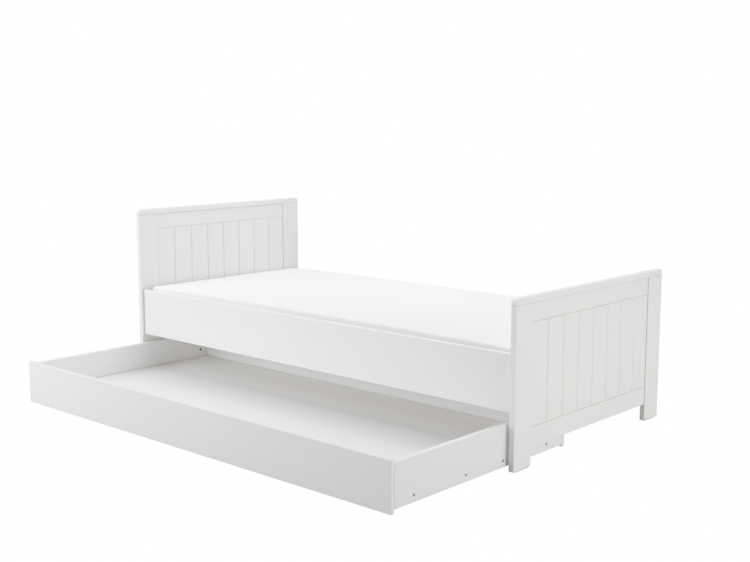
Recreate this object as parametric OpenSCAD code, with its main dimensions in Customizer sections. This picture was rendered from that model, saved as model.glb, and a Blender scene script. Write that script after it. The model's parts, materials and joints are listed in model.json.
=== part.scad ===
// Trundle bed: a slatted single bed with two plank end boards, and a low drawer on castors
// that rolls out from under it.
// Millimetres, +Z up. X runs from headboard to footboard, the drawer comes out towards -Y,
// and z = 0 is the floor. The origin is on the floor, in the middle of the ground that the bed
// and the opened drawer cover together.

/* [End boards] */
// Clear length between the two end boards
inner_length = 2010; // [1960:10:2060]
// Overall width of the bed across the posts
bed_w = 970; // [960:2:1000]
// Height of the headboard
headboard_h = 760; // [640:10:900]
// Height of the footboard
footboard_h = 590; // [450:1:700]
// Thickness of posts and caps
post_t = 22; // [20:1:28]
// Width of a post
post_w = 100; // [90:1:120]
// Thickness of the rails and planks between the posts
panel_t = 14; // [13:1:16]
// Number of planks in an end board
plank_count = 8; // [6:1:10]
// Height of a cap
cap_h = 23; // [21:1:30]
// Radius of a cap's top corners
cap_corner_r = 16; // [5:1:20]
// Height of an end board's top rail
top_rail_h = 66; // [55:1:90]
// Height of an end board's bottom rail
bottom_rail_h = 70; // [55:1:90]
// Height of the gap under an end board's bottom rail
foot_gap = 68; // [40:1:90]
// Depth of the bevel along a plank's edges
plank_bevel = 2.5; // [1:0.5:3]
// Thickness of a plank's tongue
tongue_t = 5; // [4:0.5:6]
// Length of a plank's tongue
tongue_l = 6; // [4:1:8]
// Thickness of the glide pads under the posts
glide_t = 3; // [2:1:5]
// Length of a glide pad
glide_l = 80; // [40:5:85]
// Width of a glide pad
glide_w = 15; // [10:1:18]

/* [Side rails and base] */
// Height of a side rail
rail_h = 200; // [195:5:220]
// Thickness of a side rail
rail_t = 18; // [18:1:20]
// Height of a side rail's lower edge above the floor
rail_z = 202; // [200:1:210]
// Distance from a post's outer edge to the side rail's outer face
rail_inset = 12; // [4:1:14]
// Width of a slat
slat_w = 70; // [60:1:80]
// Thickness of a slat
slat_t = 18; // [16:1:20]
// Height of the slats' upper faces
slat_top = 292; // [286:1:296]
// Distance from an end board to the middle of the nearest slat
slat_end_margin = 65; // [60:1:90]
// Gap between a slat's end and the side rail
slat_end_gap = 4; // [4:0.5:6]
// Width of the ledger under the slats' ends
ledger_w = 20; // [18:1:24]
// Height of the ledger under the slats' ends
ledger_h = 30; // [26:1:36]
// Gap between a ledger's end and the end board
ledger_gap = 3; // [1:1:10]

/* [Mattress] */
// Height of the mattress
mattress_h = 121; // [80:1:160]
// Gap between the mattress and a side rail
mattress_gap = 8; // [7:1:20]
// Gap between the mattress and an end board
mattress_end_gap = 7; // [6:1:20]
// Radius of the mattress's corners seen from above
mattress_corner_r = 45; // [10:5:80]

/* [Corner brackets] */
// Thickness of a bracket's steel
bracket_t = 3; // [2:0.5:4]
// Height of a bracket
bracket_h = 96; // [80:1:100]
// Length of the leg on the side rail
bracket_rail_leg = 46; // [40:1:60]
// Length of the leg on the post
bracket_post_leg = 40; // [36:1:50]
// Gap between the slats' upper faces and a bracket
bracket_lift = 6; // [2:1:10]
// Height of a bracket's lowest and highest screws above and below its edges
bracket_screw_margin = 14; // [10:1:20]

/* [Drawer] */
// How far the drawer's front stands out from the posts
pull_out = 580; // [0:2:900]
// Length of the drawer
drawer_l = 1990; // [1900:10:1996]
// Depth of the drawer
drawer_d = 935; // [900:1:940]
// Height of the front panel's upper edge
front_top = 176; // [168:1:180]
// Height of the front panel's lower edge
front_bottom = 5; // [4:1:12]
// Thickness of the front and back panels
front_t = 16; // [16:1:18]
// Thickness of the drawer's sides
side_t = 18; // [18:1:20]
// Height of the upper edge of the sides and back
side_top = 166; // [160:1:168]
// Height of the sides' lower edge
side_bottom = 18; // [12:1:24]
// Height of the back panel's lower edge
back_bottom = 11; // [8:1:20]
// Height of the floor boards' upper faces
floor_top = 53; // [53:1:56]
// Thickness of the floor boards
floor_t = 22; // [20:1:22]

/* [Castors] */
// Diameter of a castor wheel
wheel_d = 26; // [24:1:26]
// Width of a castor wheel's tread
wheel_w = 16; // [12:1:17]
// Distance from the drawer's middle to a castor, along the bed
castor_x = 850; // [600:10:880]
// Distance from the front or back panel to a castor's middle
castor_inset = 70; // [50:5:150]
// Diameter of a castor's axle
axle_d = 5; // [4:0.5:6]
// Thickness of a castor housing's steel
housing_t = 2; // [1.5:0.5:2]
// Width of a castor's plate
plate_w = 46; // [44:1:60]
// Length of a castor's plate
plate_l = 60; // [58:1:70]
// Clear width between a castor's two cheeks
cheek_gap = 20; // [19:0.5:20]
// Width of a castor's cheek
cheek_w = 16; // [12:1:20]

/* [Dowels and cam fittings] */
// Diameter of a dowel
dowel_d = 8; // [6:1:8]
// Length of the dowels between rails and posts
rail_dowel_l = 40; // [30:2:50]
// Length of the dowels between posts and cap, and in the drawer
short_dowel_l = 30; // [26:2:32]
// How far a dowel reaches into the cap, or into the drawer's front or back panel
dowel_depth = 11; // [9:1:12]
// Diameter of a cam lock
cam_d = 15; // [14:1:16]
// Depth of a cam lock
cam_depth = 12.5; // [12:0.5:13]
// Distance from the end of a drawer side to the middle of its cam lock
cam_inset = 34; // [30:1:40]
// Height of the cam locks
cam_z = 88; // [80:1:100]
// Diameter of the bore for a cam bolt
bolt_bore_d = 8; // [7.5:0.5:8]

/* [Screws] */
// Diameter of the bracket screws
bracket_screw_d = 4.5; // [4:0.5:5]
// Length of the bracket screws
bracket_screw_l = 17; // [14:1:17]
// Diameter of the ledger screws
ledger_screw_d = 4; // [3.5:0.5:4.5]
// Length of the ledger screws
ledger_screw_l = 32; // [28:1:34]
// Number of screws in a ledger
ledger_screw_count = 7; // [5:2:9]
// Diameter of the slat screws
slat_screw_d = 3.5; // [3:0.5:4]
// Length of the slat screws
slat_screw_l = 35; // [30:1:40]
// Diameter of the screws through the drawer's sides
floor_screw_d = 7; // [6:0.5:7]
// Length of the screws through the drawer's sides
floor_screw_l = 50; // [45:1:60]
// Distance from the front panel to the nearest of the screws in a side
floor_screw_margin = 90; // [60:1:110]
// Distance from the back panel to the nearest of the screws in a side
floor_screw_rear_margin = 98; // [60:1:110]
// Distance between the two screws in one end of a floor board
floor_screw_gap = 257; // [200:1:280]
// Diameter of the castor screws
castor_screw_d = 3.5; // [3:0.5:4]
// Length of the castor screws
castor_screw_l = 16; // [12:1:18]

/* [Edges and fits] */
// Rounding of the boards' long edges
edge_r = 3; // [1:0.5:5]
// Rounding of thin boards' long edges
thin_edge_r = 1.5; // [0.5:0.5:2]
// Bevel along the edges of the boards' ends
end_bevel = 1.5; // [0.5:0.5:2]
// Radial clearance of a pin, dowel or screw in its hole
play = 0.05; // [0.02:0.01:0.1]

/* [Hidden] */
$fn = 48;

// Colours
lacquer = [0.95, 0.95, 0.94];
pine = [0.86, 0.72, 0.52];
beech = [0.84, 0.68, 0.48];
zinc = [0.72, 0.73, 0.75];
dark_plastic = [0.16, 0.16, 0.17];
dark_steel = [0.30, 0.30, 0.31];
mattress_cloth = [0.96, 0.96, 0.97];

cut = 1;                                   // how far a cutting shape runs past a face
slat_count = 14;                           // one node each

// End boards
post_x = inner_length / 2 + post_t / 2;
post_y = bed_w / 2 - post_w / 2;
panel_w = bed_w - 2 * post_w;
plank_w = panel_w / plank_count;
plank_z = foot_gap + bottom_rail_h;
plank_gap = 0.2;                           // between two planks' shoulders
tongue_groove_t = tongue_t + 2 * play;
tongue_groove_depth = tongue_l + 0.5;
cap_dowel_gap = post_w / 2;                // between the two dowels in a post's top
headboard_top_rail_z = headboard_h - cap_h - top_rail_h;
footboard_top_rail_z = footboard_h - cap_h - top_rail_h;

// Side rails and base
rail_y = bed_w / 2 - rail_inset - rail_t / 2;
rail_inner_y = rail_y - rail_t / 2;
slat_z = slat_top - slat_t;
slat_pitch = (inner_length - 2 * slat_end_margin) / (slat_count - 1);
mattress_lift = 0.3;                       // between the mattress and the slats
bracket_z = slat_top + bracket_lift;
bracket_screw_levels = [bracket_screw_margin, bracket_h / 2, bracket_h - bracket_screw_margin];
function slat_x(i) = -inner_length / 2 + slat_end_margin + (i - 1) * slat_pitch;

// Drawer
drawer_y = -bed_w / 2 - pull_out;          // outer face of the drawer's front, from the bed's middle
side_l = drawer_d - 2 * front_t;
floor_l = drawer_l - 2 * side_t;
floor_d = side_l / 2;
floor_z = floor_top - floor_t;
side_dowel_levels = [side_bottom + 44, side_top - 26];
floor_dowel_xs = [for (step = [-2 : 2]) step * floor_l / 5];
cam_slot = 8;                              // width of the pocket for the cam bolt's head
cam_slot_top = cam_depth - side_t / 2 + cam_slot / 2;

// Castors: place of each one from the middle of the drawer's front
wheel_r = wheel_d / 2;
plate_z = floor_z - housing_t;
castor_front_y = front_t + castor_inset;
castor_rear_y = drawer_d - front_t - castor_inset;
FRONT_LEFT = [-castor_x, castor_front_y];
FRONT_RIGHT = [castor_x, castor_front_y];
REAR_LEFT = [-castor_x, castor_rear_y];
REAR_RIGHT = [castor_x, castor_rear_y];
CASTORS = [FRONT_LEFT, FRONT_RIGHT, REAR_LEFT, REAR_RIGHT];

// ---------- Shared shapes ----------

// Rectangle with rounded corners, its lower left corner at the origin
module rounded_rect(w, h, r) {
    translate([r, 0]) square([w - 2 * r, h]);
    translate([0, r]) square([w, h - 2 * r]);
    for (x = [r, w - r], y = [r, h - r]) translate([x, y]) circle(r);
}

// Outline for a board's bevelled ends: width w about the middle, length l from y = 0. It is larger than
// the board everywhere else, so that it only takes off the four corners.
module end_bevels(w, l) {
    side = w / 2 + cut;
    start = end_bevel + cut;
    narrow = side - start - cut;
    polygon([
        [-narrow, -cut], [narrow, -cut], [side, start], [side, l - start],
        [narrow, l + cut], [-narrow, l + cut], [-side, l - start], [-side, start]
    ]);
}

// Board along +Z from the origin, with its four long edges rounded and the edges of its ends bevelled
module board(w, h, l, r) {
    intersection() {
        linear_extrude(l) rounded_rect(w, h, r);
        translate([w / 2, h + cut, 0]) rotate([90, 0, 0]) linear_extrude(h + 2 * cut) end_bevels(w, l);
        translate([-cut, h / 2, 0]) rotate([90, 0, 90]) linear_extrude(w + 2 * cut) end_bevels(h, l);
    }
}

// The same along X, Y or Z; lo is the lowest corner
module board_x(lo, size, r) {
    translate(lo) rotate([90, 0, 90]) board(size[1], size[2], size[0], r);
}

module board_y(lo, size, r) {
    translate(lo + [0, size[1], 0]) rotate([90, 0, 0]) board(size[0], size[2], size[1], r);
}

module board_z(lo, size, r) {
    translate(lo) board(size[0], size[1], size[2], r);
}

// Dowel with bevelled ends, along +Z from the origin
module dowel(l) {
    r = dowel_d / 2;
    rotate_extrude() polygon([[0, 0], [r - 1, 0], [r, 1], [r, l - 1], [r - 1, l], [0, l]]);
}

// Hole for a dowel of length l, a little deeper at both ends
module dowel_hole(l) {
    deeper = 0.5;
    translate([0, 0, -deeper]) cylinder(h = l + 2 * deeper, r = dowel_d / 2 + play);
}

// Countersunk screw with a cross recess. It points down, and its head's upper face is at the origin.
module screw(d, l) {
    head_r = d;
    head_t = head_r - d / 2;
    recess_w = 1;
    recess_depth = 0.8 * head_t;
    difference() {
        rotate_extrude()
            polygon([[0, 0], [head_r, 0], [d / 2, -head_t], [d / 2, -(l - d)], [0, -l]]);
        for (turn = [0, 90]) rotate([0, 0, turn]) translate([-head_r * 0.6, -recess_w / 2, -recess_depth])
            cube([head_r * 1.2, recess_w, recess_depth + cut]);
    }
}

// Hole for that screw
module screw_hole(d, l) {
    head_r = d + play;
    r = d / 2 + play;
    rotate_extrude() polygon([
        [0, cut], [head_r, cut], [head_r, 0], [r, r - head_r], [r, -(l - d)], [0, -l - cut]
    ]);
}

// ---------- Places ----------

// The bed is modelled about its own middle, an end board about the middle of its thickness,
// and the drawer with the outer face of its front at y = 0
module bed() {
    translate([0, pull_out / 2, 0]) children();
}

module headboard() {
    bed() translate([-post_x, 0, 0]) children();
}

module footboard() {
    bed() translate([post_x, 0, 0]) children();
}

module drawer() {
    bed() translate([0, drawer_y, 0]) children();
}

// ---------- Headboard and footboard ----------

// Runs its children at each dowel between a post and the rail whose lower edge is at z;
// side is the post's sign
module at_rail_dowels(side, z, h) {
    for (level = [h * 0.28, h * 0.72]) translate([0, side * panel_w / 2 - rail_dowel_l / 2, z + level])
        rotate([-90, 0, 0]) children();
}

// Runs its children at each dowel between a post and the cap
module at_cap_dowels(side, board_h) {
    dowel_z = board_h - cap_h + dowel_depth - short_dowel_l;
    for (offset = [-cap_dowel_gap / 2, cap_dowel_gap / 2])
        translate([0, side * post_y + offset, dowel_z]) children();
}

module end_post(side, board_h, top_rail_z) {
    difference() {
        board_z(
            [-post_t / 2, side * post_y - post_w / 2, glide_t],
            [post_t, post_w, board_h - cap_h - glide_t], edge_r
        );
        translate([
            -tongue_groove_t / 2, side * panel_w / 2 - tongue_groove_depth, plank_z - tongue_groove_depth
        ]) cube([
            tongue_groove_t, 2 * tongue_groove_depth, top_rail_z - plank_z + 2 * tongue_groove_depth
        ]);
        at_rail_dowels(side, foot_gap, bottom_rail_h) dowel_hole(rail_dowel_l);
        at_rail_dowels(side, top_rail_z, top_rail_h) dowel_hole(rail_dowel_l);
        at_cap_dowels(side, board_h) dowel_hole(short_dowel_l);
    }
}

// Cross-section of a cap at its outer edge: thickness along X, the rounded edge at y = depth
module cap_section(depth) {
    translate([-post_t / 2, 0]) square([post_t, depth - edge_r]);
    translate([-post_t / 2 + edge_r, 0]) square([post_t - 2 * edge_r, depth]);
    for (side = [-1, 1]) translate([side * (post_t / 2 - edge_r), depth - edge_r]) circle(edge_r);
}

module end_cap(board_h) {
    run = bed_w - 2 * cap_corner_r;
    difference() {
        translate([0, 0, board_h - cap_h]) intersection() {
            union() {
                translate([0, run / 2, 0]) rotate([90, 0, 0]) linear_extrude(run) cap_section(cap_h);
                for (side = [0, 1]) mirror([0, side, 0]) translate([0, run / 2, 0]) {
                    linear_extrude(cap_h - cap_corner_r) cap_section(cap_corner_r);
                    translate([0, 0, cap_h - cap_corner_r]) rotate([0, -90, 0])
                        rotate_extrude(angle = 90) mirror([1, -1, 0]) cap_section(cap_corner_r);
                }
            }
            translate([0, bed_w / 2 + cut, 0]) rotate([90, 0, 0])
                linear_extrude(bed_w + 2 * cut) end_bevels(post_t, 2 * cap_h);
            translate([-post_t / 2 - cut, 0, 0]) rotate([90, 0, 90])
                linear_extrude(post_t + 2 * cut) end_bevels(bed_w, 2 * cap_h);
        }
        for (side = [-1, 1]) at_cap_dowels(side, board_h) dowel_hole(short_dowel_l);
    }
}

// Rail between the posts; its groove for the planks is in its upper or its lower edge
module end_rail(z, h, grooved_above) {
    groove_z = grooved_above ? z + h - tongue_groove_depth : z - cut;
    difference() {
        board_y([-panel_t / 2, -panel_w / 2, z], [panel_t, panel_w, h], thin_edge_r);
        translate([-tongue_groove_t / 2, -panel_w / 2 - cut, groove_z])
            cube([tongue_groove_t, panel_w + 2 * cut, tongue_groove_depth + cut]);
        for (side = [-1, 1]) at_rail_dowels(side, z, h) dowel_hole(rail_dowel_l);
    }
}

// Rectangle of thickness panel_t with bevelled corners, from y = 0 to y = l
module bevelled_bar(l) {
    face = panel_t / 2;
    land = face - plank_bevel;
    polygon([
        [-face, plank_bevel], [-land, 0], [land, 0], [face, plank_bevel],
        [face, l - plank_bevel], [land, l], [-land, l], [-face, l - plank_bevel]
    ]);
}

// Cross-section of a plank: a tongue at one edge, and at the other a groove, or a tongue on the first plank
module plank_section(first) {
    w = plank_w - plank_gap;
    difference() {
        union() {
            bevelled_bar(w);
            translate([-tongue_t / 2, w / 2]) square([tongue_t, w / 2 + tongue_l]);
            if (first) translate([-tongue_t / 2, -tongue_l]) square([tongue_t, w / 2]);
        }
        if (!first) translate([-tongue_groove_t / 2, -cut])
            square([tongue_groove_t, tongue_groove_depth + cut]);
    }
}

// Outline of a plank of length l seen from its edge: a tongue at each end
module plank_outline(l) {
    bevelled_bar(l);
    translate([-tongue_t / 2, -tongue_l]) square([tongue_t, l + 2 * tongue_l]);
}

module end_planks(top_rail_z) {
    l = top_rail_z - plank_z;
    reach = 2 * tongue_l;
    for (i = [0 : plank_count - 1])
        translate([0, -panel_w / 2 + i * plank_w + plank_gap / 2, plank_z]) intersection() {
            translate([0, 0, -tongue_l]) linear_extrude(l + 2 * tongue_l) plank_section(i == 0);
            translate([0, plank_w + reach, 0]) rotate([90, 0, 0])
                linear_extrude(plank_w + 2 * reach) plank_outline(l);
        }
}

module end_dowels(board_h, top_rail_z) {
    for (side = [-1, 1]) {
        at_rail_dowels(side, foot_gap, bottom_rail_h) dowel(rail_dowel_l);
        at_rail_dowels(side, top_rail_z, top_rail_h) dowel(rail_dowel_l);
        at_cap_dowels(side, board_h) dowel(short_dowel_l);
    }
}

module headboard_post(side) {
    color(lacquer) difference() {
        headboard() end_post(side, headboard_h, headboard_top_rail_z);
        bracket_screw_holes(-1, side);
    }
}

module footboard_post(side) {
    color(lacquer) difference() {
        footboard() end_post(side, footboard_h, footboard_top_rail_z);
        bracket_screw_holes(1, side);
    }
}

module headboard_cap() {
    color(lacquer) headboard() end_cap(headboard_h);
}

module footboard_cap() {
    color(lacquer) footboard() end_cap(footboard_h);
}

module headboard_top_rail() {
    color(lacquer) headboard() end_rail(headboard_top_rail_z, top_rail_h, false);
}

module footboard_top_rail() {
    color(lacquer) footboard() end_rail(footboard_top_rail_z, top_rail_h, false);
}

module headboard_bottom_rail() {
    color(lacquer) headboard() end_rail(foot_gap, bottom_rail_h, true);
}

module footboard_bottom_rail() {
    color(lacquer) footboard() end_rail(foot_gap, bottom_rail_h, true);
}

module headboard_planks() {
    color(lacquer) headboard() end_planks(headboard_top_rail_z);
}

module footboard_planks() {
    color(lacquer) footboard() end_planks(footboard_top_rail_z);
}

module end_board_dowels() {
    color(beech) {
        headboard() end_dowels(headboard_h, headboard_top_rail_z);
        footboard() end_dowels(footboard_h, footboard_top_rail_z);
    }
}

module post_glides() {
    color(dark_plastic) bed() for (end = [-1, 1], side = [-1, 1])
        translate([end * post_x - glide_w / 2, side * post_y - glide_l / 2, 0])
            linear_extrude(glide_t) rounded_rect(glide_w, glide_l, thin_edge_r);
}

// ---------- Side rails and slatted base ----------

// Runs its children at each screw of one bracket; end is the end board's sign and side the rail's
module at_bracket_screws(end, side) {
    screw_x = inner_length / 2 - bracket_rail_leg * 0.6;
    screw_y = rail_inner_y - bracket_post_leg * 0.6;
    for (level = bracket_screw_levels) {
        translate([end * screw_x, side * (rail_inner_y - bracket_t), bracket_z + level])
            rotate([side * 90, 0, 0]) children();
        translate([end * (inner_length / 2 - bracket_t), side * screw_y, bracket_z + level])
            rotate([0, end * -90, 0]) children();
    }
}

module bracket_screw_holes(end, side) {
    bed() at_bracket_screws(end, side) screw_hole(bracket_screw_d, bracket_screw_l);
}

// Runs its children at each screw of one ledger
module at_ledger_screws(side) {
    pitch = inner_length / ledger_screw_count;
    for (i = [0 : ledger_screw_count - 1])
        translate([
            (i + 0.5) * pitch - inner_length / 2, side * (rail_inner_y - ledger_w), slat_z - ledger_h / 2
        ]) rotate([side * 90, 0, 0]) children();
}

// Runs its children at the screw in one end of slat i
module at_slat_screw(i, side) {
    translate([slat_x(i), side * (rail_inner_y - ledger_w / 2), slat_top]) children();
}

module side_rail(side) {
    color(lacquer) difference() {
        bed() board_x(
            [-inner_length / 2, side * rail_y - rail_t / 2, rail_z], [inner_length, rail_t, rail_h], edge_r
        );
        for (end = [-1, 1]) bracket_screw_holes(end, side);
        bed() at_ledger_screws(side) screw_hole(ledger_screw_d, ledger_screw_l);
    }
}

module slat_ledger(side) {
    l = inner_length - 2 * ledger_gap;
    color(pine) bed() difference() {
        board_x(
            [-l / 2, side * (rail_inner_y - ledger_w / 2) - ledger_w / 2, slat_z - ledger_h],
            [l, ledger_w, ledger_h], thin_edge_r
        );
        at_ledger_screws(side) screw_hole(ledger_screw_d, ledger_screw_l);
        for (i = [1 : slat_count]) at_slat_screw(i, side) screw_hole(slat_screw_d, slat_screw_l);
    }
}

module slat(i) {
    l = 2 * (rail_inner_y - slat_end_gap);
    color(pine) bed() difference() {
        board_y([slat_x(i) - slat_w / 2, -l / 2, slat_z], [slat_w, l, slat_t], edge_r);
        for (side = [-1, 1]) at_slat_screw(i, side) screw_hole(slat_screw_d, slat_screw_l);
    }
}

// Steel angle that joins a side rail to a post
module corner_bracket(end, side) {
    color(zinc) difference() {
        bed() translate([end * inner_length / 2, side * rail_inner_y, bracket_z])
            mirror([end > 0 ? 1 : 0, 0, 0]) mirror([0, side > 0 ? 1 : 0, 0]) union() {
                cube([bracket_rail_leg, bracket_t, bracket_h]);
                cube([bracket_t, bracket_post_leg, bracket_h]);
            }
        bracket_screw_holes(end, side);
    }
}

module bracket_screws() {
    color(zinc) bed() for (end = [-1, 1], side = [-1, 1])
        at_bracket_screws(end, side) screw(bracket_screw_d, bracket_screw_l);
}

module ledger_screws() {
    color(zinc) bed() for (side = [-1, 1]) at_ledger_screws(side) screw(ledger_screw_d, ledger_screw_l);
}

module slat_screws() {
    color(zinc) bed() for (i = [1 : slat_count], side = [-1, 1])
        at_slat_screw(i, side) screw(slat_screw_d, slat_screw_l);
}

module mattress() {
    l = inner_length - 2 * mattress_end_gap;
    w = 2 * (rail_inner_y - mattress_gap);
    color(mattress_cloth) bed() translate([-l / 2, -w / 2, slat_top + mattress_lift])
        linear_extrude(mattress_h - mattress_lift) rounded_rect(l, w, mattress_corner_r);
}

// ---------- Drawer ----------

// Runs its children at a corner joint of the drawer: end is the side's sign, and rear is 0 at the front and
// 1 at the back. There z = 0 is the joint's face, +Z points into the front or back panel, and x = 0 is the
// middle of the side.
module at_corner_joint(end, rear, z) {
    translate([end * (drawer_l - side_t) / 2, rear ? drawer_d - front_t : front_t, z])
        rotate([rear ? -90 : 90, 0, 0]) children();
}

module at_corner_dowels(end, rear) {
    for (level = side_dowel_levels)
        at_corner_joint(end, rear, level) translate([0, 0, dowel_depth - short_dowel_l]) children();
}

// Runs its children at the dowels along the floor's front edge (row 0), middle (1) or back edge (2)
module at_floor_dowels(row) {
    ys = [
        front_t - dowel_depth, (drawer_d - short_dowel_l) / 2,
        drawer_d - front_t + dowel_depth - short_dowel_l
    ];
    for (x = floor_dowel_xs)
        translate([x, ys[row], floor_z + floor_t / 2]) rotate([-90, 0, 0]) children();
}

// Runs its children at each screw through one side into the floor boards, with its head outwards
module at_floor_screws(end) {
    front_ys = [for (step = [0, 1]) front_t + floor_screw_margin + step * floor_screw_gap];
    rear_ys = [
        for (step = [0, 1]) drawer_d - front_t - floor_screw_rear_margin - step * floor_screw_gap
    ];
    for (y = concat(front_ys, rear_ys)) {
        translate([end * drawer_l / 2, y, floor_z + floor_t / 2]) rotate([0, end * 90, 0]) children();
    }
}

// Runs its children at a cam lock: z = 0 is the bottom of its bore, and +Z points out of the
// side's inner face
module at_cam(end, rear) {
    at_corner_joint(end, rear, cam_z) translate([end * (side_t / 2 - side_t + cam_depth), 0, -cam_inset])
        rotate([0, end * -90, 0]) children();
}

// Front or back panel with its outer or inner face at y
module drawer_panel(y, z, h, rear) {
    color(lacquer) drawer() difference() {
        board_x([-drawer_l / 2, y, z], [drawer_l, front_t, h], edge_r);
        for (end = [-1, 1]) {
            at_corner_dowels(end, rear) dowel_hole(short_dowel_l);
            at_corner_joint(end, rear, cam_z) cam_bolt_hole();
        }
        at_floor_dowels(rear ? 2 : 0) dowel_hole(short_dowel_l);
    }
}

module drawer_front() {
    drawer_panel(0, front_bottom, front_top - front_bottom, 0);
}

module drawer_back() {
    drawer_panel(drawer_d - front_t, back_bottom, side_top - back_bottom, 1);
}

module drawer_side(end) {
    color(lacquer) drawer() difference() {
        board_y(
            [end * (drawer_l - side_t) / 2 - side_t / 2, front_t, side_bottom],
            [side_t, side_l, side_top - side_bottom], edge_r
        );
        at_floor_screws(end) floor_screw_hole();
        for (rear = [0, 1]) {
            at_corner_dowels(end, rear) dowel_hole(short_dowel_l);
            at_corner_joint(end, rear, cam_z) translate([0, 0, -cam_inset])
                cylinder(h = cam_inset + cut, d = bolt_bore_d);
            at_cam(end, rear) translate([0, 0, -play])
                cylinder(h = cam_depth + cut, r = cam_d / 2 + play);
        }
    }
}

// Floor board; row is 0 for the front one and 1 for the rear one
module drawer_floor(row) {
    color(lacquer) drawer() difference() {
        translate([-floor_l / 2, front_t + row * floor_d, floor_z]) cube([floor_l, floor_d, floor_t]);
        for (end = [-1, 1]) at_floor_screws(end) floor_screw_hole();
        for (edge = [row, row + 1]) at_floor_dowels(edge) dowel_hole(short_dowel_l);
        for (place = [CASTORS[2 * row], CASTORS[2 * row + 1]])
            castor(place) at_castor_screws() castor_screw_hole();
    }
}

// Countersunk joining screw with a hexagonal socket, pointing down
module floor_screw() {
    head_r = floor_screw_d / 2 + 1.5;
    r = floor_screw_d / 2;
    socket_w = 4;
    difference() {
        rotate_extrude() polygon([
            [0, 0], [head_r, 0], [r, r - head_r],
            [r, 2 - floor_screw_l], [r - 2, -floor_screw_l], [0, -floor_screw_l]
        ]);
        translate([0, 0, -socket_w]) cylinder(h = socket_w + cut, d = socket_w / cos(30), $fn = 6);
    }
}

module floor_screw_hole() {
    head_r = floor_screw_d / 2 + 1.5 + play;
    r = floor_screw_d / 2 + play;
    rotate_extrude() polygon([
        [0, cut], [head_r, cut], [head_r, 0], [r, r - head_r],
        [r, -floor_screw_l - cut], [0, -floor_screw_l - cut]
    ]);
}

module drawer_floor_screws() {
    color(dark_steel) drawer() for (end = [-1, 1]) at_floor_screws(end) floor_screw();
}

// Cam lock along +Z: a disc with a cross recess over a wall that is open on four sides for the bolt's head
module cam_lock() {
    wall = 2;
    recess_w = 1.6;
    recess_l = 9;
    recess_depth = 1.5;
    difference() {
        cylinder(h = cam_depth, d = cam_d);
        translate([0, 0, -cut]) cylinder(h = cam_slot_top + cut, r = cam_d / 2 - wall);
        for (turn = [0, 90]) rotate([0, 0, turn]) {
            translate([-cam_d, -cam_slot / 2, -cut]) cube([2 * cam_d, cam_slot, cam_slot_top + cut]);
            translate([-recess_l / 2, -recess_w / 2, cam_depth - recess_depth])
                cube([recess_l, recess_w, recess_depth + cut]);
        }
    }
}

module drawer_cam_locks() {
    color(dark_steel) drawer() for (end = [-1, 1], rear = [0, 1]) at_cam(end, rear) cam_lock();
}

// Cam bolt along +Z; z = 0 is the face of the panel that its thread is screwed into
module cam_bolt() {
    thread_r = 3;
    stem_r = 2.5;
    head_r = 3.5;
    head_l = 4;
    rotate_extrude() polygon([
        [0, dowel_depth], [thread_r, dowel_depth], [thread_r, 0], [stem_r, -2],
        [stem_r, head_l / 2 - cam_inset], [head_r, head_l / 2 - cam_inset],
        [head_r, -head_l / 2 - cam_inset], [0, -head_l / 2 - cam_inset]
    ]);
}

module cam_bolt_hole() {
    thread_r = 3;
    translate([0, 0, -cut]) cylinder(h = dowel_depth + 2 * cut, r = thread_r + play);
}

module drawer_cam_bolts() {
    color(zinc) drawer() for (end = [-1, 1], rear = [0, 1]) at_corner_joint(end, rear, cam_z) cam_bolt();
}

module drawer_dowels() {
    color(beech) drawer() {
        for (end = [-1, 1], rear = [0, 1]) at_corner_dowels(end, rear) dowel(short_dowel_l);
        for (row = [0 : 2]) at_floor_dowels(row) dowel(short_dowel_l);
    }
}

// ---------- Castors ----------

module castor(place) {
    translate([place[0], place[1], 0]) children();
}

// Moves its children to the axle, with +Z along it
module on_axle() {
    translate([0, 0, wheel_r]) rotate([0, 90, 0]) children();
}

// Runs its children at a castor's four screws, on the lower face of its plate
module at_castor_screws() {
    margin = 5;
    for (x = [margin - plate_w / 2, plate_w / 2 - margin], y = [margin - plate_l / 2, plate_l / 2 - margin])
        translate([x, y, plate_z]) children();
}

module castor_screw_hole() {
    translate([0, 0, -cut]) cylinder(h = castor_screw_l + 2 * cut, r = castor_screw_d / 2 + play);
}

module castor_housing(place) {
    color(zinc) drawer() castor(place) difference() {
        union() {
            translate([-plate_w / 2, -plate_l / 2, plate_z])
                linear_extrude(housing_t) rounded_rect(plate_w, plate_l, edge_r);
            for (x = [-cheek_gap / 2 - housing_t, cheek_gap / 2])
                translate([x, 0, 0]) rotate([90, 0, 90]) linear_extrude(housing_t) castor_cheek();
        }
        on_axle() translate([0, 0, -plate_w]) cylinder(h = 2 * plate_w, r = axle_d / 2 + play);
        at_castor_screws() castor_screw_hole();
    }
}

// Outline of a cheek: round about the axle, straight up to the plate
module castor_cheek() {
    translate([-cheek_w / 2, wheel_r]) square([cheek_w, floor_z - wheel_r]);
    translate([0, wheel_r]) circle(cheek_w / 2);
}

// Half cross-section of a wheel: rounded tread and a shallow dish in each face
module wheel_section() {
    tread_r = 3;
    hub_r = axle_d;
    dish = 3;
    difference() {
        union() {
            translate([0, -wheel_w / 2]) square([wheel_r - tread_r, wheel_w]);
            translate([0, tread_r - wheel_w / 2]) square([wheel_r, wheel_w - 2 * tread_r]);
            for (z = [tread_r - wheel_w / 2, wheel_w / 2 - tread_r])
                translate([wheel_r - tread_r, z]) circle(tread_r);
        }
        for (z = [-wheel_w / 2 - cut, wheel_w / 2 - dish])
            translate([hub_r, z]) square([wheel_r - tread_r - hub_r, dish + cut]);
    }
}

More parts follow.
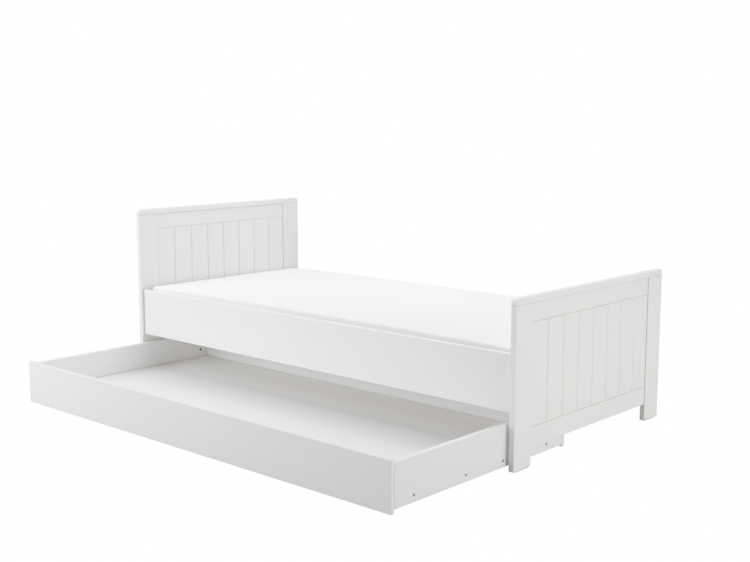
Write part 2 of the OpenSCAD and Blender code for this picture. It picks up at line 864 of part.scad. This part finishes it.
module castor_wheel(place) {
    hub_w = wheel_w + 2;
    color(dark_plastic) drawer() castor(place) on_axle() difference() {
        union() {
            rotate_extrude() wheel_section();
            translate([0, 0, -hub_w / 2]) cylinder(h = hub_w, r = axle_d);
        }
        translate([0, 0, -hub_w]) cylinder(h = 2 * hub_w, r = axle_d / 2 + play);
    }
}

module castor_axles() {
    reach = cheek_gap / 2 + housing_t;
    head_r = axle_d / 2 + 1.5;
    head_t = 1.5;
    color(zinc) drawer() for (place = CASTORS) castor(place) on_axle() {
        translate([0, 0, -reach]) cylinder(h = 2 * reach, d = axle_d);
        for (z = [-reach - head_t, reach]) translate([0, 0, z]) cylinder(h = head_t, r = head_r);
    }
}

module castor_screws() {
    head_t = 2;
    color(zinc) drawer() for (place = CASTORS) castor(place) at_castor_screws() {
        translate([0, 0, -head_t]) cylinder(h = head_t, r = castor_screw_d);
        cylinder(h = castor_screw_l, d = castor_screw_d);
    }
}

// ---------- Nodes ----------

headboard_post(-1);  // headboard_front_post
headboard_post(1);  // headboard_rear_post
headboard_cap();
headboard_top_rail();
headboard_bottom_rail();
headboard_planks();
footboard_post(-1);  // footboard_front_post
footboard_post(1);  // footboard_rear_post
footboard_cap();
footboard_top_rail();
footboard_bottom_rail();
footboard_planks();
post_glides();
end_board_dowels();
side_rail(-1);  // front_side_rail
side_rail(1);  // rear_side_rail
slat_ledger(-1);  // front_slat_ledger
slat_ledger(1);  // rear_slat_ledger
corner_bracket(-1, -1);  // bracket_head_front
corner_bracket(-1, 1);  // bracket_head_rear
corner_bracket(1, -1);  // bracket_foot_front
corner_bracket(1, 1);  // bracket_foot_rear
bracket_screws();
ledger_screws();
slat_screws();
for (i = [1 : slat_count]) slat(i);
mattress();
drawer_front();
drawer_back();
drawer_side(-1);  // drawer_left_side
drawer_side(1);  // drawer_right_side
drawer_floor(0);  // drawer_floor_front
drawer_floor(1);  // drawer_floor_rear
drawer_floor_screws();
drawer_cam_locks();
drawer_cam_bolts();
drawer_dowels();
castor_housing(FRONT_LEFT);  // castor_housing_front_left
castor_housing(FRONT_RIGHT);  // castor_housing_front_right
castor_housing(REAR_LEFT);  // castor_housing_rear_left
castor_housing(REAR_RIGHT);  // castor_housing_rear_right
castor_wheel(FRONT_LEFT);  // castor_wheel_front_left
castor_wheel(FRONT_RIGHT);  // castor_wheel_front_right
castor_wheel(REAR_LEFT);  // castor_wheel_rear_left
castor_wheel(REAR_RIGHT);  // castor_wheel_rear_right
castor_axles();
castor_screws();
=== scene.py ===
"""Looks for the trundle bed: camera, studio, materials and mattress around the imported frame."""

import json
import math

import bmesh
import bpy
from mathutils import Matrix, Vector, noise


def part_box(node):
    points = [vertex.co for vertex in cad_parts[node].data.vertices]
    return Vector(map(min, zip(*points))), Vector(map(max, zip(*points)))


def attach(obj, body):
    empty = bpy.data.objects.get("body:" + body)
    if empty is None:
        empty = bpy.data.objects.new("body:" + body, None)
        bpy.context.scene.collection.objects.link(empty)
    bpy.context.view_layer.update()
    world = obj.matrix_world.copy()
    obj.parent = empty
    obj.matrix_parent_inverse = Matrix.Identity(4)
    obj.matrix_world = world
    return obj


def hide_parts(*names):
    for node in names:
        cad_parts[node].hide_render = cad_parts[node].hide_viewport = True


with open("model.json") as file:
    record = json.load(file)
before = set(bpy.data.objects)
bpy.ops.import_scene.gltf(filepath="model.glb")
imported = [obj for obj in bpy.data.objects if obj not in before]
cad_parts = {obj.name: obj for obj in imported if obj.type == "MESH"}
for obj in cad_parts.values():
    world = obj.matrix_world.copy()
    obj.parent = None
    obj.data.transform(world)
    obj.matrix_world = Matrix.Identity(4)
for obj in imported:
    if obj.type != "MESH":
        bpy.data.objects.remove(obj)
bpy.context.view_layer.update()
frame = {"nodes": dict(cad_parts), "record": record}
nodes = frame["nodes"]
scene = bpy.context.scene

# ---------- Named values, in metres and degrees ----------

CAMERA_FROM_BED = Vector((3.157, -3.512, 1.207))  # from the middle of the bed's own floor area
CAMERA_TURN = 42.29                               # about Z, from looking along +Y
CAMERA_PITCH = -8.62
CAMERA_LENS = 54.91                               # millimetres, on a 36 mm sensor

FLOOR_SIZE = 60.0
FLOOR_COLOUR = (0.38, 0.355, 0.33, 1.0)
FLOOR_GAP = 0.002         # how far the floor is under the bed's feet
BACKDROP_RADIUS = 40.0
PAPER_COLOUR = (0.0, 0.0, 0.0, 1.0)   # reflects nothing: its glow alone makes it exactly white
PAPER_GLOW = 1.0
WHITE = (1.0, 1.0, 1.0, 1.0)
SKY_STRENGTH = 0.05
CONTRAST_GAMMA = 2.0      # opens the shadows, as in a bright white studio
DIFFUSE_BOUNCES = 8       # light goes round many white faces before it leaves the drawer

# Soft boxes: place and the point that they face, from the middle of the bed's own floor area;
# then width, height, watts and colour
NEUTRAL = (1.0, 1.0, 1.0)
WARM = (1.0, 0.985, 0.96)
COOL = (0.975, 0.985, 1.0)
SOFT_BOXES = {
    "overhead_box": ((0, 0, 2.8), (0, 0, 0), 3.2, 2.2, 32.0, COOL),
    "overhead_rear_box": ((0, 1.2, 2.8), (0, 0, 0.2), 3.2, 2.0, 39.2, NEUTRAL),
    "front_left_box": ((-2.2, -2.8, 1.9), (0, 0, 0.3), 2.0, 2.0, 45.3, COOL),
    "low_front_left_box": ((-2.6, -2.6, 0.7), (0, -0.3, 0.1), 1.6, 1.0, 7.2, NEUTRAL),
    "front_box": ((-1.0, -4.4, 1.2), (0, 0, 0.2), 3.8, 1.6, 36.3, COOL),
    "low_right_box": ((3.4, -0.3, 0.4), (1, -0.6, 0.1), 1.5, 0.7, 23.5, WARM),
    "low_rear_right_box": ((3.0, 1.3, 0.4), (1, 0.0, 0.2), 1.6, 0.7, 4.5, WARM),
    "rear_right_box": ((3.2, 2.0, 1.9), (0, 0, 0.3), 2.0, 2.0, 12.0, NEUTRAL),
}

# ---------- Camera and studio ----------


def bed_middle():
    """The middle of the bed's own floor area, without the drawer."""
    low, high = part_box("headboard_cap")
    return Vector((0, (low.y + high.y) / 2, 0))


def make_camera():
    data = bpy.data.cameras.new("camera")
    data.sensor_width = 36
    data.lens = CAMERA_LENS
    data.clip_end = 2 * FLOOR_SIZE
    camera = bpy.data.objects.new("camera", data)
    camera.location = bed_middle() + CAMERA_FROM_BED
    camera.rotation_euler = (math.radians(90 + CAMERA_PITCH), 0, math.radians(CAMERA_TURN))
    scene.collection.objects.link(camera)
    scene.camera = camera


def make_world():
    world = bpy.data.worlds.new("studio")
    world.use_nodes = True
    sky = world.node_tree.nodes["Background"]
    sky.inputs["Strength"].default_value = SKY_STRENGTH
    sky.inputs["Color"].default_value = WHITE
    scene.world = world


def make_soft_boxes():
    for name, (place, target, width, height, watts, colour) in SOFT_BOXES.items():
        data = bpy.data.lights.new(name, "AREA")
        data.shape = "RECTANGLE"
        data.size = width
        data.size_y = height
        data.energy = watts
        data.color = colour
        lamp = bpy.data.objects.new(name, data)
        lamp.location = bed_middle() + Vector(place)
        lamp.rotation_euler = (Vector(target) - Vector(place)).to_track_quat("-Z", "Y").to_euler()
        lamp.visible_camera = False
        scene.collection.objects.link(lamp)


def stage_piece(name, mesh, colour, glow, shown):
    """Part of the studio: shown to the camera and lighting nothing, or the other way round."""
    material = bpy.data.materials.new(name)
    material.use_nodes = True
    shader = material.node_tree.nodes["Principled BSDF"]
    shader.inputs["Base Color"].default_value = colour
    shader.inputs["Roughness"].default_value = 0.9
    shader.inputs["Specular IOR Level"].default_value = 0.0
    shader.inputs["Emission Color"].default_value = WHITE
    shader.inputs["Emission Strength"].default_value = glow
    mesh.materials.append(material)
    piece = bpy.data.objects.new(name, mesh)
    piece.visible_camera = shown
    for ray in ("diffuse", "glossy", "transmission", "volume_scatter", "shadow"):
        setattr(piece, f"visible_{ray}", not shown)
    scene.collection.objects.link(piece)
    return piece


def floor_mesh(name):
    half = FLOOR_SIZE / 2
    corners = [(-half, -half, 0), (half, -half, 0), (half, half, 0), (-half, half, 0)]
    mesh = bpy.data.meshes.new(name)
    mesh.from_pydata(corners, [], [(0, 1, 2, 3)])
    return mesh


def make_floor():
    """The pale floor that lights the bed from below, and the white paper and backdrop around it.

    The camera sees the paper and backdrop instead of the floor, and they light nothing.
    """
    floor = stage_piece("studio_floor", floor_mesh("studio_floor"), FLOOR_COLOUR, 0.0, False)
    paper = stage_piece("white_paper", floor_mesh("white_paper"), PAPER_COLOUR, PAPER_GLOW, True)
    for piece in (floor, paper):
        piece.location.z = -FLOOR_GAP
    dome = bmesh.new()
    bmesh.ops.create_uvsphere(dome, u_segments=48, v_segments=24, radius=BACKDROP_RADIUS)
    mesh = bpy.data.meshes.new("white_backdrop")
    dome.to_mesh(mesh)
    dome.free()
    stage_piece("white_backdrop", mesh, PAPER_COLOUR, PAPER_GLOW, True)


# ---------- Material building ----------

# Painted shade: an ambient-occlusion node darkens the colour itself in grooves and joints
JOINT_SHADE_REACH = 0.010             # how far from a groove or joint the painted shade reaches, in metres
JOINT_SHADE = 0.60              # lightness of the painted shade deep in a joint
# colour of the painted shade in grooves and joints
JOINT_SHADE_TINT = (0.88, 0.865, 0.85)
EDGE_BAND_WIDTH = 0.0025              # width of the lighter band along edges, partly thin lacquer and partly painted highlight, in metres
NOISE_RANGE = (0.3, 0.7)        # the values that a noise mostly takes


class Surface:
    """A Principled material whose procedural layers are added one by one."""

    def __init__(self, name, roughness=0.5, metallic=0.0):
        self.material = bpy.data.materials.new(name)
        self.material.use_nodes = True
        self.tree = self.material.node_tree
        self.shader = self.tree.nodes["Principled BSDF"]
        self.shader.inputs["Roughness"].default_value = roughness
        self.shader.inputs["Metallic"].default_value = metallic
        self.coords = self.node("ShaderNodeTexCoord").outputs["Object"]
        self.bump = None

    def node(self, kind, **settings):
        made = self.tree.nodes.new(kind)
        for key, value in settings.items():
            setattr(made, key, value)
        return made

    def link(self, output, target):
        self.tree.links.new(output, target)

    def stretched(self, scale):
        """Object coordinates scaled along each axis."""
        mapping = self.node("ShaderNodeMapping")
        mapping.inputs["Scale"].default_value = scale
        self.link(self.coords, mapping.inputs["Vector"])
        return mapping.outputs["Vector"]

    def noise(self, scale, detail=2.0, rough=0.5, vector=None):
        made = self.node("ShaderNodeTexNoise")
        made.inputs["Scale"].default_value = scale
        made.inputs["Detail"].default_value = detail
        made.inputs["Roughness"].default_value = rough
        self.link(vector or self.coords, made.inputs["Vector"])
        return made.outputs["Fac"]

    def math(self, operation, a, b=0.0):
        made = self.node("ShaderNodeMath", operation=operation)
        for socket, value in zip(made.inputs, (a, b)):
            if isinstance(value, (int, float)):
                socket.default_value = value
            else:
                self.link(value, socket)
        return made.outputs[0]

    def spread(self, value, low, high, from_low=0.0, from_high=1.0):
        """Value mapped from one range to another."""
        made = self.node("ShaderNodeMapRange")
        self.link(value, made.inputs["Value"])
        ends = {"From Min": from_low, "From Max": from_high, "To Min": low, "To Max": high}
        for socket, number in ends.items():
            made.inputs[socket].default_value = number
        return made.outputs["Result"]

    def vary(self, value, low=0.0, high=1.0):
        """A noise's value stretched to a range."""
        return self.spread(value, low, high, *NOISE_RANGE)

    def mix(self, factor, a, b):
        """Colour between a and b; each is a colour or an output."""
        made = self.node("ShaderNodeMix", data_type="RGBA")
        sockets = [s for s in made.inputs if s.enabled]
        for socket, value in zip(sockets, (factor, a, b)):
            if isinstance(value, bpy.types.NodeSocket):
                self.link(value, socket)
            elif isinstance(value, (int, float)):
                socket.default_value = value
            else:
                socket.default_value = (*value, 1.0)
        return next(s for s in made.outputs if s.enabled)

    def colour(self, output):
        self.link(output, self.shader.inputs["Base Color"])

    def roughness(self, output):
        self.link(output, self.shader.inputs["Roughness"])

    def relief(self, height, depth, strength=1.0):
        """Adds a bump layer: height is a 0 to 1 output, depth its size in metres."""
        made = self.node("ShaderNodeBump")
        made.inputs["Strength"].default_value = strength
        made.inputs["Distance"].default_value = depth
        self.link(height, made.inputs["Height"])
        if self.bump:
            self.link(self.bump, made.inputs["Normal"])
        self.bump = made.outputs["Normal"]
        self.link(self.bump, self.shader.inputs["Normal"])

    def painted_joint_shade(self, body):
        """Body colour with painted shade: darker in grooves and along joints, where light hardly
        reaches.
        """
        occlusion = self.node("ShaderNodeAmbientOcclusion", samples=8)
        occlusion.inputs["Distance"].default_value = JOINT_SHADE_REACH
        openness = self.spread(occlusion.outputs["AO"], 0.0, 1.0, 0.45, 0.95)
        return self.mix(openness, tuple(JOINT_SHADE * part for part in JOINT_SHADE_TINT), body)

    def edge(self):
        """About 0 on flat faces, rising to 1 on edges."""
        bevel = self.node("ShaderNodeBevel", samples=4)
        bevel.inputs["Radius"].default_value = EDGE_BAND_WIDTH
        geometry = self.node("ShaderNodeNewGeometry")
        dot = self.node("ShaderNodeVectorMath", operation="DOT_PRODUCT")
        self.link(bevel.outputs["Normal"], dot.inputs[0])
        self.link(geometry.outputs["Normal"], dot.inputs[1])
        return self.spread(dot.outputs["Value"], 1.0, 0.0, 0.75, 0.98)


def lacquer():
    """Satin white lacquer: stipple, slow waviness, changes of tint and sheen; edges lighter from
    thin lacquer and a painted highlight; painted shade in joints.
    """
    s = Surface("satin_white_lacquer")
    body = s.mix(s.vary(s.noise(1.7, 3.0)), (0.855, 0.855, 0.855), (0.875, 0.875, 0.872))
    # Lighter edges: partly lacquer worn thin, partly a painted highlight along the arrises
    edge = s.edge()
    wear_and_highlight = s.math("MULTIPLY", edge, s.spread(s.noise(45, 3.0), 0, 1, 0.45, 0.65))
    # Painted shade: the colour darkens in grooves and joints
    s.colour(s.painted_joint_shade(s.mix(s.math("MULTIPLY", wear_and_highlight, 0.35), body, (0.89, 0.885, 0.875))))
    gloss = s.vary(s.noise(28, 4.0), 0.36, 0.48)
    s.roughness(s.math("ADD", gloss, s.math("MULTIPLY", edge, 0.05)))
    s.relief(s.noise(7), 0.0006, 0.25)
    s.relief(s.noise(700), 0.00006, 0.6)
    return s.material


def white_board():
    """White coated board: flatter than the lacquer, with a fine pressed texture."""
    s = Surface("white_coated_board")
    tint = s.vary(s.noise(2.3, 3.0))
    # Painted shade: the colour darkens in grooves and joints
    s.colour(s.painted_joint_shade(s.mix(tint, (0.85, 0.85, 0.85), (0.87, 0.87, 0.868))))
    s.roughness(s.vary(s.noise(40, 4.0), 0.42, 0.54))
    s.relief(s.noise(480, 3.0, 0.6), 0.00008, 0.6)
    return s.material


def wood(name, along, light, dark, knots):
    """Planed wood, its grain along axis 0, 1 or 2: growth rings, fibres and perhaps knots."""
    s = Surface(name)
    slow = [9.0] * 3
    slow[along] = 0.55
    fine = [220.0] * 3
    fine[along] = 5.0
    rings = s.node("ShaderNodeTexWave", wave_type="RINGS", rings_direction="XYZ"[along])
    rings.inputs["Scale"].default_value = 1.3
    rings.inputs["Distortion"].default_value = 5.5
    rings.inputs["Detail"].default_value = 3.0
    rings.inputs["Detail Scale"].default_value = 0.8
    s.link(s.stretched(slow), rings.inputs["Vector"])
    ring = rings.outputs["Fac"]
    fibre = s.noise(1.0, 5.0, 0.65, s.stretched(fine))
    shade = s.math("ADD", s.math("MULTIPLY", ring, 0.55), s.math("MULTIPLY", fibre, 0.45))
    body = s.mix(s.spread(shade, 0, 1, 0.25, 0.85), dark, light)
    if knots:
        squeezed = [9.0] * 3
        squeezed[along] = 3.2
        cells = s.node("ShaderNodeTexVoronoi")
        cells.inputs["Scale"].default_value = 1.0
        s.link(s.stretched(squeezed), cells.inputs["Vector"])
        knot = s.spread(cells.outputs["Distance"], 1, 0, 0.035, 0.085)
        body = s.mix(knot, body, (0.20, 0.095, 0.035))
    s.colour(body)
    s.roughness(s.vary(fibre, 0.5, 0.72))
    s.relief(fibre, 0.0003, 0.5)
    return s.material


def metal(name, dark, light, roughness):
    """Plated or blackened steel: fine spangle, and gloss that changes slowly."""
    s = Surface(name, metallic=1.0)
    cells = s.node("ShaderNodeTexVoronoi")
    cells.inputs["Scale"].default_value = 260
    s.link(s.coords, cells.inputs["Vector"])
    spangle = s.spread(cells.outputs["Distance"], 0, 1, 0.0, 0.9)
    s.colour(s.mix(spangle, dark, light))
    gloss = s.vary(s.noise(90, 4.0), roughness - 0.09, roughness + 0.09)
    s.roughness(s.math("ADD", gloss, s.math("MULTIPLY", spangle, 0.06)))
    s.relief(s.noise(420, 3.0), 0.00005, 0.5)
    return s.material


def plastic(name, colour, lighter, roughness):
    """Moulded plastic with a fine spark-eroded grain."""
    s = Surface(name)
    s.colour(s.mix(s.vary(s.noise(60, 3.0)), colour, lighter))
    s.roughness(s.vary(s.noise(150, 3.0), roughness - 0.06, roughness + 0.08))
    s.relief(s.noise(900), 0.00008, 0.6)
    return s.material


def knit():
    """Smooth white knitted mattress cover: fine ribs of loops, slight pilling and soft sheen."""
    s = Surface("white_knitted_cover", roughness=0.85)
    s.shader.inputs["Sheen Weight"].default_value = 0.12
    s.shader.inputs["Sheen Roughness"].default_value = 0.5
    s.shader.inputs["Specular IOR Level"].default_value = 0.25
    rows = []
    for direction, scale in (("X", 260), ("Y", 200)):
        row = s.node("ShaderNodeTexWave", bands_direction=direction)
        row.inputs["Scale"].default_value = scale
        row.inputs["Distortion"].default_value = 0.6
        s.link(s.coords, row.inputs["Vector"])
        rows.append(row.outputs["Fac"])
    loops = s.math("MULTIPLY", *rows)
    fuzz = s.noise(900, 3.0, 0.7)
    body = s.mix(s.vary(s.noise(3.0, 3.0)), (0.868, 0.870, 0.890), (0.888, 0.890, 0.908))
    # Painted shade: the colour darkens in creases and where the cover meets other parts
    s.colour(s.painted_joint_shade(s.mix(s.math("MULTIPLY", loops, 0.12), body, (0.83, 0.832, 0.855))))
    s.roughness(s.vary(fuzz, 0.78, 0.92))
    s.relief(loops, 0.0003, 0.35)
    s.relief(fuzz, 0.0002, 0.3)
    return s.material


# ---------- Materials of the CAD nodes ----------


def grain_axis(name):
    """0 for boards that run along X, 1 along Y, 2 along Z: the longest side of the node."""
    low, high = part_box(name)
    sides = list(high - low)
    return sides.index(max(sides))


def dress_nodes():
    """Gives every CAD node the material of its slot; the grain of pine runs along the board.

    Returns the mattress cloth.
    """
    slots = {part["node"]: part["material_slot"] for part in frame["record"]["subparts"]}
    pine = [
        wood(f"pine_{'xyz'[axis]}", axis, (0.88, 0.80, 0.68), (0.79, 0.67, 0.51), True)
        for axis in range(3)
    ]
    single = {
        "white_lacquer": lacquer(),
        "white_board": white_board(),
        "beech": wood("beech_dowel", 1, (0.70, 0.50, 0.32), (0.55, 0.36, 0.21), False),
        "zinc_steel": metal("zinc_plated_steel", (0.52, 0.54, 0.56), (0.66, 0.67, 0.69), 0.33),
        "dark_steel": metal("blackened_steel", (0.07, 0.07, 0.075), (0.12, 0.12, 0.125), 0.45),
        "glide_plastic": plastic(
            "dark_glide_plastic", (0.05, 0.05, 0.05), (0.08, 0.08, 0.08), 0.6
        ),
        "wheel_plastic": plastic(
            "dark_wheel_plastic", (0.035, 0.035, 0.038), (0.055, 0.055, 0.058), 0.45
        ),
        "mattress_cloth": knit(),
    }
    for name, node in nodes.items():
        slot = slots[name]
        material = pine[grain_axis(name)] if slot == "pine" else single[slot]
        node.data.materials.clear()
        node.data.materials.append(material)
    return single["mattress_cloth"]


# ---------- Mattress ----------

# Lengths in metres
START_INSET = 0.001     # the block's sides start this much inside the CAD mattress
START_LIFT = 0.002      # and its upper face this much above it
CORNER_RADIUS = 0.028   # of its corners, seen from above
EDGE_RADIUS = 0.003     # of its upper and lower edges
ARC_STEPS = 6           # points along each corner and edge, less one
VOXEL = 0.008
CLOTH_FRAMES = 20
CLOTH_PRESSURE = 4
CLOTH_STIFFNESS = 12
SWELL_CAP = 0.0025      # furthest that a point may move while the block swells
RIM_SINK = 0.001        # how far the upper rim sinks while the block swells
RIM_REACH = 0.012       # how far from the rim points are pulled out again
RIM_PULL = 0.006        # and by how much at most
SIDE_SLACK = 0.003      # how far the cover may stand out past the CAD mattress's sides
CROWN = 0.006           # how much the upper face rises from the ends to the middle
CROWN_SHARE = 0.33      # part of the crown that is above the CAD mattress
TILT = 0.0025           # rise of the upper face towards the drawer side, over half of its width
WAVE_DEPTH = 0.0010     # of the slow waves in the upper face
WAVES = (5, 9)          # how quickly they change along X and Y, per metre
WAVE_SEED = 0.3


def rounded_block(name, low, high):
    """Closed block with round corners seen from above and rounded upper and lower edges."""
    mesh = bmesh.new()
    rings = []
    for level in range(2 * ARC_STEPS + 2):
        upper = level > ARC_STEPS
        part = (level - ARC_STEPS - 1) / ARC_STEPS if upper else 1 - level / ARC_STEPS
        turn = math.radians(90) * part
        inset = EDGE_RADIUS * (1 - math.cos(turn))
        if upper:
            z = high.z - EDGE_RADIUS + EDGE_RADIUS * math.sin(turn)
        else:
            z = low.z + EDGE_RADIUS - EDGE_RADIUS * math.sin(turn)
        ring = []
        for quarter, (sx, sy) in enumerate(((1, 1), (-1, 1), (-1, -1), (1, -1))):
            centre = Vector((
                (low.x + high.x) / 2 + sx * ((high.x - low.x) / 2 - CORNER_RADIUS),
                (low.y + high.y) / 2 + sy * ((high.y - low.y) / 2 - CORNER_RADIUS),
            ))
            for step in range(ARC_STEPS + 1):
                angle = math.radians(90) * (quarter + step / ARC_STEPS)
                radius = CORNER_RADIUS - inset
                ring.append(mesh.verts.new((
                    centre.x + radius * math.cos(angle), centre.y + radius * math.sin(angle), z
                )))
        rings.append(ring)
    for lower, upper in zip(rings, rings[1:]):
        for i in range(len(lower)):
            j = (i + 1) % len(lower)
            mesh.faces.new((lower[i], lower[j], upper[j], upper[i]))
    mesh.faces.new(rings[-1])
    mesh.faces.new(list(reversed(rings[0])))
    data = bpy.data.meshes.new(name)
    mesh.to_mesh(data)
    mesh.free()
    made = bpy.data.objects.new(name, data)
    scene.collection.objects.link(made)
    return made


def apply_modifiers(piece):
    """Replaces the piece's mesh with its evaluated one."""
    graph = bpy.context.evaluated_depsgraph_get()
    evaluated = bpy.data.meshes.new_from_object(piece.evaluated_get(graph))
    piece.modifiers.clear()
    old = piece.data
    piece.data = evaluated
    bpy.data.meshes.remove(old)


def swell(piece):
    """Blows the piece up a little as cloth under pressure, and caps how far each point moves."""
    start = [v.co.copy() for v in piece.data.vertices]
    cloth = piece.modifiers.new("cloth", "CLOTH")
    cloth.settings.use_pressure = True
    cloth.settings.uniform_pressure_force = CLOTH_PRESSURE
    cloth.settings.effector_weights.gravity = 0
    cloth.settings.quality = 4
    cloth.settings.mass = 0.4
    cloth.settings.tension_stiffness = CLOTH_STIFFNESS
    cloth.settings.compression_stiffness = CLOTH_STIFFNESS
    cloth.settings.bending_stiffness = 2
    cloth.point_cache.frame_start = 1
    cloth.point_cache.frame_end = CLOTH_FRAMES
    for step in range(1, CLOTH_FRAMES + 1):
        scene.frame_set(step)
    apply_modifiers(piece)
    scene.frame_set(1)
    for vertex, before in zip(piece.data.vertices, start):
        move = vertex.co - before
        if move.length > SWELL_CAP:
            vertex.co = before + move * (SWELL_CAP / move.length)


def sharpen_rim(co, low, high):
    """Pulls points by the upper rim out towards it, because the remesh has rounded it."""
    inset = START_INSET + SWELL_CAP
    middle = (low + high) / 2
    gaps = [(high - low)[axis] / 2 - inset - abs(co[axis] - middle[axis]) for axis in (0, 1)]
    axis = gaps.index(min(gaps))
    beside = max(gaps[axis], 0)
    below = max(high.z + START_LIFT - RIM_SINK - co.z, 0)
    nearness = max(1 - beside / RIM_REACH, 0) * max(1 - below / RIM_REACH, 0)
    pull = RIM_PULL * nearness
    co[axis] += math.copysign(min(pull, beside), co[axis] - middle[axis])
    co.z += min(pull, below)


def settle(co, low, high):
    """Rests a point on the slats, keeps it clear of rails and end boards, and crowns the top."""
    co.x = min(max(co.x, low.x - SIDE_SLACK), high.x + SIDE_SLACK)
    co.y = min(max(co.y, low.y - SIDE_SLACK), high.y + SIDE_SLACK)
    co.z = max(co.z, low.z)
    middle = (low + high) / 2
    along = abs(co.x - middle.x) / (high.x - middle.x)
    across = (co.y - middle.y) / (high.y - middle.y)
    wave = WAVE_DEPTH * noise.noise(Vector((co.x * WAVES[0], co.y * WAVES[1], WAVE_SEED)))
    rise = CROWN * (CROWN_SHARE - along ** 3) - TILT * across + wave
    co.z += rise * (co.z - low.z) / (high.z - low.z)


def make_mattress(cloth_material):
    low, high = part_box("mattress")
    inset = Vector((START_INSET, START_INSET, 0))
    lift = Vector((0, 0, START_LIFT))
    piece = rounded_block("mattress_body", low + inset, high - inset + lift)
    remesh = piece.modifiers.new("remesh", "REMESH")
    remesh.mode = "VOXEL"
    remesh.voxel_size = VOXEL
    apply_modifiers(piece)
    swell(piece)
    for vertex in piece.data.vertices:
        sharpen_rim(vertex.co, low, high)
        settle(vertex.co, low, high)
    for polygon in piece.data.polygons:
        polygon.use_smooth = True
    subdivision = piece.modifiers.new("subdivision", "SUBSURF")
    subdivision.levels = 1
    subdivision.render_levels = 1
    apply_modifiers(piece)
    piece.data.materials.clear()
    piece.data.materials.append(cloth_material)
    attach(piece, "bed_frame")
    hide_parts("mattress")


# ---------- The scene ----------

scene.view_settings.view_transform = "Standard"
scene.view_settings.gamma = CONTRAST_GAMMA
scene.cycles.diffuse_bounces = DIFFUSE_BOUNCES
make_camera()
make_world()
make_soft_boxes()
make_floor()
make_mattress(dress_nodes())
